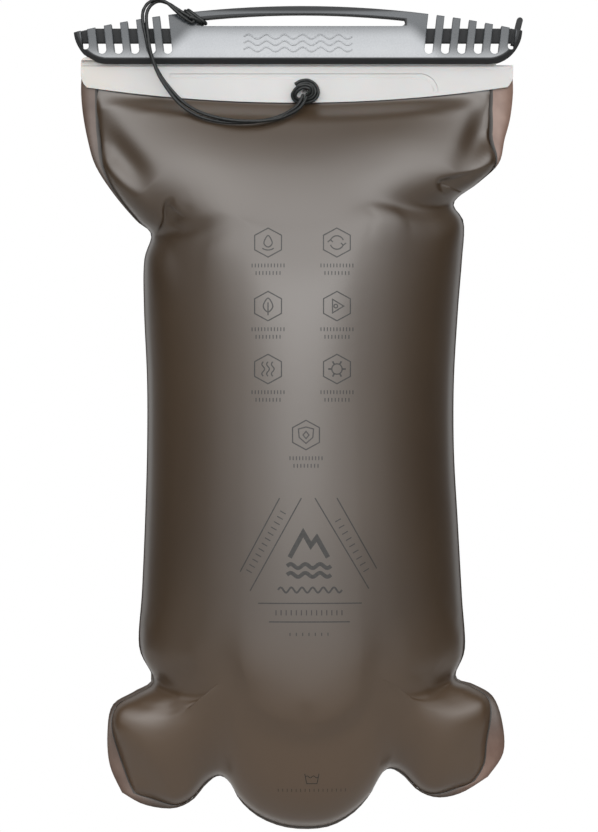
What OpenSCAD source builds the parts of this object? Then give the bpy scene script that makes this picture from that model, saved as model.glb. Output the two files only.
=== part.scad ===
// Hydration bladder: a filled soft reservoir that hangs from its slide-off closure bar.
// Millimetres, +Z up, front towards -Y, origin at the centre of the hanging slot.

/* [Closure bar] */
// Length from the bar's centre to its open left end
bar_left = 114; // [112:0.5:116]
// Length from the bar's centre to its closed right end
bar_right = 110; // [108:0.5:112]
// Height of the arch's top above the slot's centre
arch_top = 7; // [6.5:0.1:7.5]
// Radius of the arch along the bar's top
arch_r = 490; // [480:5:520]
// Lowest edge of the bar, below the slot's centre
bar_drop = 22; // [21.5:0.5:22]
// Half of the bar's greatest thickness
bar_half = 6.2; // [6:0.1:6.6]
// Windows between the grip ribs at each end
windows = 5; // [3:1:5]
// Distance from one window to the next
window_pitch = 8.2; // [8:0.1:8.4]

/* [Mouth strips] */
// Thickness of one stiffener plate
strip_t = 1.0; // [0.9:0.1:1.1]
// Depth of the strips below the slot's centre, at their middle
strip_drop = 41.3; // [40:0.1:42]
// Radius of the strips' curved lower edge
strip_r = 720; // [600:10:900]

/* [Reservoir] */
// Film thickness
film_t = 0.6; // [0.5:0.1:0.8]
// How far the front bulges when full
front_bulge = 51; // [40:1:54]
// How far the back bulges when full
back_bulge = 47; // [40:1:50]

/* [Hose port] */
// Height of the port's axis, below the slot's centre
port_drop = 318; // [300:1:325]
// Distance of the port's mounting face from the weld plane
port_y = 43; // [42:0.5:44]
// Radius of the plug that the port takes
plug_r = 6.2; // [6:0.1:6.4]
// Radius of the welded flange
flange_r = 19; // [18:0.5:21]

/* [Tether] */
// Diameter of the elastic cord
cord_d = 1.7; // [1.5:0.1:1.9]
// Half of the distance between the two strands
strand_gap = 1.0; // [0.95:0.05:1.2]

/* [Hidden] */
$fn = 64;
big_fn = 720;      // segments of the very large circles

// Closure bar
corner_r = 17;     // round ends of the bar, seen from the front
corner_z = corner_r - bar_drop;
chamfer = 2.6;     // dark lower lip, turned under along the bottom and round the ends
lens_r = 70;       // radius of the bar's bulging front and back
lens_z = -17;      // height of its thickest line
slot_half = 51.5;
slot_bottom = -3.3;
slot_top = 2.7;
window_r = 2.15;
window_z = -15.1;
window_x = [-66.9, 63.2];   // the window nearest the middle, at each end
rib_lean = 6.5;
rail_z = [-11.5, -4.3];
rail_half = 2.4;

// Track inside the bar, and the beads that run in it
track_half = 3.8;
track_z = [-20.6, -17.2];
lip_gap = 1.5;
bead_half = 3.4;
bead_z = [-20.3, -17.5];
bead_x = [-104, 97];
strip_x = [-110.5, 105.5];
strip_gap = 0.1;   // between the two strips' necks
plate_top = -22.4;
neck_top = -18.6;
groove_depth = 0.25;
groove_w = 2.2;
groove_z = -26.8;
groove_turn = 9;   // outer radius of the pressed line's turned-down end
groove_x = [-66, 59];
eyelet = [1.5, -36];
eyelet_r = 1.4;

// Reservoir outline: the shape of the full bag from the front, corner by corner
film_top = -25;
left_edge = [[-110, -25], [-110.5, -35], [-109.5, -47], [-107, -60], [-103, -73], [-94, -87],
    [-83, -100], [-75.5, -107], [-79, -120], [-79, -145], [-77.5, -180], [-77.5, -215],
    [-78.5, -250], [-80, -285], [-81.5, -313], [-75, -329], [-84, -335.5], [-94.5, -342],
    [-97, -355], [-96, -372], [-90, -386]];
right_edge = [[105, -25], [105.5, -36], [104, -49], [101, -60], [98, -72], [88, -81.5],
    [76, -91], [81, -101], [80, -120], [78, -145], [76, -180], [76, -215], [78, -252],
    [80, -288], [81.5, -314], [77, -328], [86, -332], [95.5, -338], [100, -351],
    [100.5, -366], [93, -378]];
bottom_edge = [[-90, -386], [-79, -392], [-65, -394], [-55, -390], [-48, -382], [-41.5, -377.5],
    [-36, -381], [-31, -390], [-22, -398], [-10, -403], [3, -404.3], [15, -402.5], [26, -396],
    [34, -387], [38, -379], [43, -374], [50, -377], [58, -385], [68, -388.5], [80, -386],
    [93, -378]];
cols = 20;         // steps across a panel
rows = 40;         // steps down a panel
flat_share = 0.08; // share of the way down where the strips hold the film flat
top_fullness = 0.85; // below 1 the film stands out steeply under the strips
port_flat = [20, 40];   // radii where the back is flat, and where it is round again

// Tether route, from the knot to the hitch: each point is on the middle of the two strands
tether_route = [[1.5, -5, -38], [-2, -8.5, -44], [-10, -14, -49], [-20, -17, -51.5],
    [-31, -18, -52], [-41, -17.5, -51], [-51, -15.5, -48], [-59, -12.5, -43], [-65.5, -10.5, -36],
    [-71.5, -9.5, -27], [-75.5, -9.5, -17], [-77.5, -8.5, -7], [-78.5, -6.5, 0], [-78, -5.5, 4.5],
    [-75.5, -5, 8], [-71.5, -5.3, 9.5], [-67, -5.7, 8], [-63, -6, 5], [-59, -6.3, 2], [-54.8, -6.4, -0.6]];
strand_turns = 1.5;  // times that the strands wind round each other
knot_at = [1.5, -4.6, -34];
hitch_at = [-49.2, 0, -0.6];

// Hose port, measured outwards from its mounting face
body_r = 11.5;
body_end = 15;
bore_clear = 0.05;
latch_s = [7.2, 9.4];
land_r = 5.4;
seat_r = 4.2;
seat_s = [0.6, 2];
chamber_r = 7;
chamber_s = -11;
spigot_r = 8.8;
film_hole_r = 9.4;
plate_t = 1.8;
plate_r = 6.8;       // opening in the latch plate
latch_reach = 1.2;   // how far the opening sits off the port's axis at rest
button_gap = 2.6;    // room for the button's travel
button_y = -(body_r + button_gap);
seal_r = 1;          // half of a sealing ring's thickness
valve_wire_r = 0.35;
latch_wire_r = 0.18;
poppet_head_r = 5.6;

// ---------- functions ----------

function mix(a, b, t) = a + (b - a) * t;
function clamp01(t) = min(1, max(0, t));
function ease(t) = clamp01(t) * clamp01(t) * (3 - 2 * clamp01(t));
function rev(v) = [for (i = [len(v) - 1:-1:0]) v[i]];
function unit(v) = v / norm(v);

// A point on the smooth curve through a list of points; t runs from 0 to 1
function on_curve(p, t) =
    let (n = len(p) - 1, s = clamp01(t) * n, i = min(n - 1, floor(s)), f = s - i,
        a = p[max(0, i - 1)], b = p[i], c = p[i + 1], d = p[min(n, i + 2)])
    0.5 * (2 * b + (c - a) * f + (2 * a - 5 * b + 4 * c - d) * f * f
        + (3 * b - a - 3 * c + d) * f * f * f);

// A place on the bag's face, u across and v down, between its four edges
function patch(u, v) =
    let (l = on_curve(left_edge, v), r = on_curve(right_edge, v),
        t = mix(left_edge[0], right_edge[0], u), b = on_curve(bottom_edge, u),
        tl = left_edge[0], tr = right_edge[0],
        bl = bottom_edge[0], br = bottom_edge[len(bottom_edge) - 1])
    mix(t, b, v) + mix(l, r, u) - mix(mix(tl, tr, u), mix(bl, br, u), v);

// How far the film stands out from the weld plane, as a share of the full bulge
function swell_across(u) = pow(max(0, 1 - pow(abs(2 * u - 1), 2.2)), 0.6);
function swell_down(v) =
    v < 0.5 ? pow(sin(90 * clamp01((v - flat_share) / (0.5 - flat_share))), top_fullness)
        : pow(max(0, 1 - pow((v - 0.5) / 0.5, 2.6)), 0.55);
function port_share(p) =
    1 - ease((norm([p[0], p[1] + port_drop]) - port_flat[0]) / (port_flat[1] - port_flat[0]));
function face_y(side, u, v) =
    let (full = swell_across(u) * swell_down(v))
    side < 0 ? -front_bulge * full : mix(back_bulge * full, port_y - 0.02, port_share(patch(u, v)));

// Outside and inside of one panel of film as one closed skin; side is -1 in front, 1 behind
module film_panel(side) {
    nu = cols + 1;
    nv = rows + 1;
    skin = [for (j = [0:rows]) for (i = [0:cols])
        let (u = i / cols, v = j / rows, p = patch(u, v),
            edge = i == 0 || i == cols || j == 0 || j == rows)
        [p[0], side * film_t + (edge ? 0 : face_y(side, u, v)), p[1]]];
    lining = [for (j = [0:rows]) for (i = [0:cols])
        let (k = j * nu + i, edge = i == 0 || i == cols || j == 0 || j == rows)
        edge ? [skin[k][0], 0, skin[k][2]]
            : let (across = skin[k + 1] - skin[k - 1], down = skin[k + nu] - skin[k - nu],
                n = unit(cross(across, down)))
            skin[k] - n * film_t * sign(n[1]) * side];
    total = nu * nv;
    rim = concat([for (i = [0:cols]) i], [for (j = [1:rows]) j * nu + cols],
        [for (i = [cols - 1:-1:0]) rows * nu + i], [for (j = [rows - 1:-1:1]) j * nu]);
    quads = concat(
        [for (j = [0:rows - 1]) for (i = [0:cols - 1])
            let (a = j * nu + i) [a, a + 1, a + nu + 1, a + nu]],
        [for (j = [0:rows - 1]) for (i = [0:cols - 1])
            let (a = total + j * nu + i) [a, a + nu, a + nu + 1, a + 1]],
        [for (k = [0:len(rim) - 1])
            let (a = rim[k], b = rim[(k + 1) % len(rim)]) [b, a, a + total, b + total]]);
    tris = [for (q = quads) each [[q[0], q[1], q[2]], [q[0], q[2], q[3]]]];
    polyhedron(concat(skin, lining), side < 0 ? [for (f = tris) rev(f)] : tris, convexity = 6);
}

// A round tube along a path, closed at both ends
module tube(path, r, sides) {
    n = len(path);
    rings = [for (i = [0:n - 1])
        let (t = unit(path[min(n - 1, i + 1)] - path[max(0, i - 1)]),
            a = unit(cross(t, abs(t[1]) > 0.9 ? [1, 0, 0] : [0, 1, 0])), b = cross(t, a))
        for (k = [0:sides - 1])
            path[i] + r * (cos(360 * k / sides) * a + sin(360 * k / sides) * b)];
    walls = [for (i = [0:n - 2]) for (k = [0:sides - 1])
        let (a = i * sides + k, b = i * sides + (k + 1) % sides) each
        [[a, b, b + sides], [a, b + sides, a + sides]]];
    ends = [[for (k = [sides - 1:-1:0]) k], [for (k = [0:sides - 1]) (n - 1) * sides + k]];
    polyhedron(concat(rings, [path[0], path[n - 1]]),
        concat([for (f = walls) rev(f)],
            [for (k = [0:sides - 1]) [k, (k + 1) % sides, n * sides]],
            [for (k = [0:sides - 1])
                [(n - 1) * sides + (k + 1) % sides, (n - 1) * sides + k, n * sides + 1]]),
        convexity = 10);
}

// Turns of a spring about +Z from z0 to z1
module coil(r, z0, z1, turns, wire) {
    steps = 12;
    tube([for (i = [0:turns * steps])
        [r * cos(360 * i / steps), r * sin(360 * i / steps), mix(z0, z1, i / (turns * steps))]],
        wire, 6);
}

// Puts +Z geometry on the port's axis, outwards from its mounting face
module at_port() {
    translate([0, port_y, -port_drop]) rotate([-90, 0, 0]) children();
}

module disc(r, s0, s1) {
    translate([0, 0, s0]) cylinder(r = r, h = s1 - s0);
}

module torus(ring_r, r, s) {
    translate([0, 0, s]) rotate_extrude() translate([ring_r, 0]) circle(r, $fn = 24);
}

// Turns a front outline, drawn in X and Z, into a solid that reaches from y0 to y1
module front_extrude(y0, y1) {
    translate([0, y1, 0]) rotate([90, 0, 0]) linear_extrude(y1 - y0) children();
}

// Turns a side profile, drawn in Y and Z, into a solid that reaches from x0 to x1
module side_extrude(x0, x1) {
    translate([x0, 0, 0]) rotate([90, 0, 90]) linear_extrude(x1 - x0) children();
}

// ---------- closure bar ----------

// Half of the bar's thickness against the distance from its top: flat, then turned under
module bar_section() {
    w = bar_half + 0.5;
    polygon([[0, -w], [corner_r - chamfer, -w], [corner_r - 0.4, -w + 2.6], [corner_r, -w + 3.3],
        [corner_r, w - 3.3], [corner_r - 0.4, w - 2.6], [corner_r - chamfer, w], [0, w]]);
}

module bar_blank() {
    span = [-bar_left + corner_r, bar_right - corner_r];
    intersection() {
        union() {
            for (x = span)
                translate([x, 0, corner_z]) rotate([90, 0, 0]) rotate_extrude() bar_section();
            translate([span[0], 0, corner_z]) rotate([0, 90, 0])
                linear_extrude(span[1] - span[0]) bar_section();
            translate([-bar_left, -bar_half - 0.5, corner_z])
                cube([bar_left + bar_right, 2 * bar_half + 1, 20]);
        }
        front_extrude(-10, 10) translate([0, arch_top - arch_r]) circle(arch_r, $fn = big_fn);
        side_extrude(-120, 120) intersection() {
            translate([bar_half - lens_r, lens_z]) circle(lens_r, $fn = big_fn);
            translate([lens_r - bar_half, lens_z]) circle(lens_r, $fn = big_fn);
        }
    }
}

module hang_slot_2d() {
    intersection() {
        translate([0, slot_top - arch_r]) circle(arch_r, $fn = big_fn);
        union() {
            translate([-slot_half + 2, slot_bottom]) square([2 * slot_half - 4, 10]);
            for (s = [-1, 1]) translate([s * (slot_half - 2.1), slot_bottom + 2.1]) circle(2.1);
        }
    }
}

module window_2d() {
    circle(window_r);
    translate([-window_r, 0]) square([2 * window_r, 30]);
}

// The rib windows of both ends, and the last narrow notch outside each set
module windows_2d() {
    for (s = [0, 1], k = [0:windows])
        translate([window_x[s] + (s == 0 ? -1 : 1) * k * window_pitch, k < windows ? window_z : -13.4])
            rotate(s == 0 ? rib_lean : -rib_lean)
                scale(k < windows ? 1 : 0.75) window_2d();
}

module slider_bar() color("#3f464b") {
    difference() {
        union() {
            difference() {
                bar_blank();
                front_extrude(-20, 20) windows_2d();
            }
            intersection() {
                bar_blank();
                translate([-bar_left + 2, -rail_half, rail_z[0]])
                    cube([bar_left + bar_right - 4, 2 * rail_half, rail_z[1] - rail_z[0]]);
            }
            thumb_hook();
        }
        front_extrude(-20, 20) hang_slot_2d();
        translate([-bar_left - 1, -track_half, track_z[0]])
            cube([bar_left + bead_x[1] + 1.4, 2 * track_half, track_z[1] - track_z[0]]);
        translate([-bar_left - 1, -lip_gap, -bar_drop - 1])
            cube([bar_left + bead_x[1] + 1.4, 2 * lip_gap, 4]);
    }
}

// Upright pull at the closed end
module thumb_hook() {
    front_extrude(-2.6, 2.6) {
        translate([bar_right - 1.2, -0.2]) circle(1.5);
        translate([bar_right - 1.2, -0.2]) rotate(-14) translate([-1.5, -13]) square([3, 13]);
    }
}

// ---------- mouth strips ----------

// Outline of a strip from the front: straight top, shallow curved lower edge, round corners
module strip_2d() {
    corner = 9;
    length = strip_x[1] - strip_x[0];
    intersection() {
        translate([-3, strip_r - strip_drop]) circle(strip_r, $fn = big_fn);
        translate([strip_x[0], -60]) square([length, 60 + plate_top]);
        union() {
            translate([strip_x[0], -27]) square([length, 20]);
            translate([strip_x[0] + corner, -60]) square([length - 2 * corner, 60]);
            for (x = [strip_x[0] + corner, strip_x[1] - corner])
                translate([x, -27]) circle(corner);
        }
    }
}

// Side profile of the front strip: bead, neck, and the plate welded outside the film
module strip_profile() {
    plate_y = -film_t - 0.05;
    polygon([[-strip_gap, bead_z[1]], [-bead_half, bead_z[1]], [-bead_half, bead_z[0]],
        [-strip_gap - strip_t, bead_z[0]], [-strip_gap - strip_t, plate_top],
        [plate_y - strip_t, -23.4], [plate_y - strip_t, -50], [plate_y, -50],
        [plate_y, -24.2], [-strip_gap, -23.9]]);
}

module mouth_strip() {
    difference() {
        intersection() {
            side_extrude(strip_x[0], strip_x[1]) strip_profile();
            front_extrude(-10, 10) union() {
                strip_2d();
                translate([bead_x[0], plate_top - 1]) square([bead_x[1] - bead_x[0], 10]);
                neck_end_2d();
            }
        }
        front_extrude(-5, -film_t - strip_t + groove_depth) groove_2d();
    }
}

// The neck runs on past the bead's left end, up to the strip's own end, with a round shoulder
module neck_end_2d() {
    shoulder = 3;
    translate([strip_x[0] + shoulder, plate_top - 1])
        square([bead_x[0] - strip_x[0] - shoulder + 0.1, neck_top - plate_top + 1]);
    translate([strip_x[0], plate_top - 1]) square([shoulder + 0.1, neck_top - shoulder - plate_top + 1]);
    translate([strip_x[0] + shoulder, neck_top - shoulder]) circle(shoulder);
}

// Pressed line: level along the middle, turning down at its right end
module groove_2d() {
    translate([groove_x[0], groove_z - groove_w]) square([groove_x[1] - groove_x[0] + 0.1, groove_w]);
    translate([groove_x[1], groove_z - groove_turn]) difference() {
        circle(groove_turn);
        circle(groove_turn - groove_w);
        translate([-50, -50]) square([50, 100]);
        translate([-50, -100]) square([100, 100]);
    }
}

module front_mouth_strip() color("#dcdad6") difference() {
    mouth_strip();
    translate([eyelet[0], 0, eyelet[1]]) rotate([90, 0, 0]) cylinder(r = eyelet_r, h = 10);
}

module back_mouth_strip() color("#dcdad6") mirror([0, 1, 0]) mouth_strip();

// ---------- reservoir ----------

module front_panel() color("#6b655e") film_panel(-1);

module back_panel() color("#6b655e") difference() {
    film_panel(1);
    at_port() translate([0, 0, -6]) cylinder(r = film_hole_r, h = 12);
}

// ---------- tether ----------

function strand(side, t) =
    let (p = on_curve(tether_route, t), q = on_curve(tether_route, t + 0.01),
        o = on_curve(tether_route, t - 0.01), d = unit(q - o),
        a = unit(cross(d, [0, 1, 0])), b = cross(d, a), turn = 360 * strand_turns * t)
    p + side * strand_gap * (cos(turn) * a + sin(turn) * b);

module tether_cord() color("#26272a") {
    steps = 38;
    tube(concat([for (i = [0:steps]) strand(1, i / steps)],
        [on_curve(tether_route, 1) + [0.9, 0.2, -0.5]],
        [for (i = [steps:-1:0]) strand(-1, i / steps)]), cord_d / 2, 8);
}

module tether_knot() color("#26272a") translate(knot_at) scale([1, 0.62, 1]) sphere(4.3, $fn = 32);

module tether_hitch() color("#26272a") translate(hitch_at) union() {
    scale([0.8, 1.35, 0.82]) sphere(3.4, $fn = 32);
}

// ---------- hose port ----------

module port_flange() color("#2b2d30") at_port() difference() {
    union() {
        disc(flange_r, 0, 1.2);
        disc(body_r + 4.5, 1.2, 2.2);
    }
    disc(spigot_r + 0.2, -1, 5);
    for (k = [0:11]) rotate(30 * k + 15) translate([flange_r - 1.7, 0, -1])
        cylinder(r = 0.7, h = 4, $fn = 24);
}

module port_body() color("#33363a") at_port() difference() {
    union() {
        disc(spigot_r, chamber_s, 2.3);
        disc(body_r + 3.5, 2.3, 4);
        disc(body_r, 4, body_end - 1);
        translate([0, 0, body_end - 1]) cylinder(r1 = body_r, r2 = body_r - 1, h = 1);
    }
    disc(plug_r + bore_clear, latch_s[0], body_end + 1);
    translate([0, 0, body_end - 0.8]) cylinder(r1 = plug_r, r2 = plug_r + 1.1, h = 0.9);
    disc(land_r, seat_s[1], latch_s[0] + 0.1);
    disc(land_r + seal_r - 0.1, 3.7, 5.8);
    disc(seat_r, -1, seat_s[1] + 0.1);
    disc(chamber_r, chamber_s - 1, seat_s[0]);
    // Latch slot, open on the button's side
    translate([-plate_r - 1.4, -body_r - 1, latch_s[0]])
        cube([2 * plate_r + 2.8, 2 * body_r - 0.6, latch_s[1] - latch_s[0]]);
}

module bore_seal() color("#1c1c1e") at_port() torus(land_r + seal_r - 0.15, seal_r - 0.05, 4.75);

module latch_plate() color("#b9bcc0") at_port() difference() {
    s = (latch_s[0] + latch_s[1] - plate_t) / 2;
    translate([0, 0, s]) union() {
        translate([-plate_r - 1.1, -7, 0]) cube([2 * plate_r + 2.2, 14.4, plate_t]);
        translate([-4, button_y - 1.4, 0]) cube([8, 10, plate_t]);
    }
    translate([0, -latch_reach, s - 1]) cylinder(r = plate_r, h = plate_t + 2);
}

module release_button() color("#2f6fa8") at_port() difference() {
    intersection() {
        translate([0, 0, 4.8]) linear_extrude(8) difference() {
            circle(body_r + button_gap + 3.6, $fn = 96);
            circle(body_r + button_gap, $fn = 96);
        }
        translate([-6.5, -30, 0]) cube([13, 20, 20]);
    }
    s = (latch_s[0] + latch_s[1] - plate_t) / 2;
    translate([-4, button_y - 1.4, s]) cube([8, 6, plate_t]);
}

module latch_spring() color("#c9ccd0") at_port()
    translate([0, 7.4, (latch_s[0] + latch_s[1]) / 2]) rotate([-90, 0, 0])
        coil(0.8, 0.25, 2.2, 3, latch_wire_r);

module valve_poppet() color("#e6e7e6") at_port() {
    disc(2.2, seat_s[0] - 1, 6.2);
    disc(poppet_head_r, seat_s[0] - 3.4, seat_s[0] - 2.1);
    disc(4, seat_s[0] - 2.2, seat_s[0] - 0.5);
    disc(1.5, chamber_s - 0.6, seat_s[0] - 3.3);
}

module poppet_seal() color("#1c1c1e") at_port() torus(4.98, 0.97, seat_s[0] - 1.06);

module valve_spring() color("#c9ccd0") at_port()
    coil(3.6, chamber_s + 2.1, seat_s[0] - 3.8, 5, valve_wire_r);

module valve_cage() color("#33363a") at_port() difference() {
    disc(chamber_r, chamber_s, chamber_s + 1.7);
    disc(1.57, chamber_s - 1, chamber_s + 3);
    for (k = [0:5]) rotate(60 * k) translate([4.4, 0, chamber_s - 1])
        cylinder(r = 1.35, h = 4, $fn = 24);
}

slider_bar();
front_mouth_strip();
back_mouth_strip();
front_panel();
back_panel();
tether_cord();
tether_knot();
tether_hitch();
port_flange();
port_body();
bore_seal();
latch_plate();
release_button();
latch_spring();
valve_poppet();
poppet_seal();
valve_spring();
valve_cage();
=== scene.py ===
"""Hydration bladder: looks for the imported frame. Metres, in the CAD's frame, front towards -Y."""
import math

import bmesh
import bpy
import numpy as np
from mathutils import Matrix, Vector
from mathutils.bvhtree import BVHTree


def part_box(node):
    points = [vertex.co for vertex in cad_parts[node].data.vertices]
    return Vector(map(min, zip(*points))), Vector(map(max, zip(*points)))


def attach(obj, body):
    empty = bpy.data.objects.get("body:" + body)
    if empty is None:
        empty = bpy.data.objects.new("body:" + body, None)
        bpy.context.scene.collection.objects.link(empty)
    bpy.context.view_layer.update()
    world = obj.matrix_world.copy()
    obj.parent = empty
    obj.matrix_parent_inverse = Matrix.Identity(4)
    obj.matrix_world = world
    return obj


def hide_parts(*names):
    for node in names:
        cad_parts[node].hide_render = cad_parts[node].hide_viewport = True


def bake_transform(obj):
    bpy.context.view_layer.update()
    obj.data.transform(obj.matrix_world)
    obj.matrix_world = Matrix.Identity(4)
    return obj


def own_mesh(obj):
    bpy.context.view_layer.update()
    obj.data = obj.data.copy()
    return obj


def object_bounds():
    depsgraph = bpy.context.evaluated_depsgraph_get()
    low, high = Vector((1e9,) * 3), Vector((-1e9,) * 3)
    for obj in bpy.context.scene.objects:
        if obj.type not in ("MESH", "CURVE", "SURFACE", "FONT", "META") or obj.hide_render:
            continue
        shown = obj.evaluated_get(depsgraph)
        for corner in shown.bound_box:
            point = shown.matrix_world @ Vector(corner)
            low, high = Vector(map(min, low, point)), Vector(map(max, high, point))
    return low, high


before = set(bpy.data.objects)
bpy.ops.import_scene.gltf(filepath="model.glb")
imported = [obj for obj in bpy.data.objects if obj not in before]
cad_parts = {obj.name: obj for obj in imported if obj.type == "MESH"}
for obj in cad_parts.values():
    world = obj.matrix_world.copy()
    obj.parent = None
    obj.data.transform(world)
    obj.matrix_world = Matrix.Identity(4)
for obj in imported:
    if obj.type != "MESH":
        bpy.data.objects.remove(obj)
cad_low, cad_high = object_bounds()
MM = 0.001
STRIP_RADIUS, STRIP_CORNER = 0.720, 0.009     # the mouth strips' lower edge and its corners

# ---------------------------------------------------------------- camera

CAMERA_DISTANCE = 2.0
PICTURE_HEIGHT = 0.416          # what the picture's long side spans at the weld plane
PICTURE_CENTRE = (-0.0015, -0.1978)
SENSOR = 36.0


def make_camera():
    data = bpy.data.cameras.new("camera")
    data.sensor_width = SENSOR
    data.lens = SENSOR * CAMERA_DISTANCE / PICTURE_HEIGHT
    cam = bpy.data.objects.new("camera", data)
    bpy.context.scene.collection.objects.link(cam)
    cam.location = (PICTURE_CENTRE[0], -CAMERA_DISTANCE, PICTURE_CENTRE[1])
    cam.rotation_euler = (math.radians(90), 0, 0)
    bpy.context.scene.camera = cam


make_camera()

# ---------------------------------------------------------------- small tools


def mix(a, b, t):
    return a + (b - a) * t


def ease(t):
    t = np.clip(t, 0.0, 1.0)
    return t * t * (3 - 2 * t)


def unit(v):
    v = np.asarray(v, float)
    return v / np.maximum(np.linalg.norm(v, axis=-1, keepdims=True), 1e-12)


def on_curve(points, t):
    """Points on the smooth curve through a list of points; t is an array from 0 to 1."""
    p = np.asarray(points, float)
    n = len(p) - 1
    s = np.clip(np.asarray(t, float), 0, 1) * n
    i = np.minimum(n - 1, np.floor(s)).astype(int)
    f = (s - i)[..., None]
    a, b, c, d = p[np.maximum(i - 1, 0)], p[i], p[i + 1], p[np.minimum(i + 2, n)]
    return 0.5 * (2 * b + (c - a) * f + (2 * a - 5 * b + 4 * c - d) * f ** 2
                  + (3 * b - a - 3 * c + d) * f ** 3)


def new_object(name, verts, faces, material=None, smooth=True):
    mesh = bpy.data.meshes.new(name)
    mesh.from_pydata([tuple(v) for v in verts], [], [tuple(f) for f in faces])
    mesh.update()
    obj = bpy.data.objects.new(name, mesh)
    bpy.context.scene.collection.objects.link(obj)
    if material:
        mesh.materials.append(material)
    mesh.polygons.foreach_set("use_smooth", [smooth] * len(mesh.polygons))
    return obj


def clean_normals(obj):
    bm = bmesh.new()
    bm.from_mesh(obj.data)
    bmesh.ops.recalc_face_normals(bm, faces=bm.faces)
    bm.to_mesh(obj.data)
    bm.free()


def tube(path, radius, sides=12, closed=False):
    """Vertices and faces of a round tube; radius is a number or one per point."""
    path = np.asarray(path, float)
    n = len(path)
    radius = np.broadcast_to(radius, (n,))
    if closed:
        tangent = unit(np.roll(path, -1, 0) - np.roll(path, 1, 0))
    else:
        tangent = unit(np.gradient(path, axis=0))
    normal = np.zeros_like(path)
    start = np.cross(tangent[0], (0, 1, 0) if abs(tangent[0][1]) < 0.9 else (1, 0, 0))
    normal[0] = unit(start)
    for i in range(1, n):
        v = normal[i - 1] - tangent[i] * np.dot(normal[i - 1], tangent[i])
        normal[i] = unit(v)
    if closed:          # spread the leftover twist over the whole loop
        end = normal[-1] - tangent[0] * np.dot(normal[-1], tangent[0])
        twist = math.atan2(np.dot(np.cross(end, normal[0]), tangent[0]), np.dot(end, normal[0]))
        for i in range(n):
            a = twist * i / n
            normal[i] = normal[i] * math.cos(a) + np.cross(tangent[i], normal[i]) * math.sin(a)
    side = np.cross(tangent, normal)
    verts, faces = [], []
    for i in range(n):
        for k in range(sides):
            a = 2 * math.pi * k / sides
            verts.append(path[i] + radius[i] * (math.cos(a) * normal[i] + math.sin(a) * side[i]))
    for i in range(n if closed else n - 1):
        for k in range(sides):
            a, b = i * sides + k, i * sides + (k + 1) % sides
            c, d = ((i + 1) % n) * sides + k, ((i + 1) % n) * sides + (k + 1) % sides
            faces.append((a, b, d, c))
    if not closed:
        faces.append(tuple(range(sides))[::-1])
        faces.append(tuple((n - 1) * sides + k for k in range(sides)))
    return verts, faces


# ---------------------------------------------------------------- materials


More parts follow.
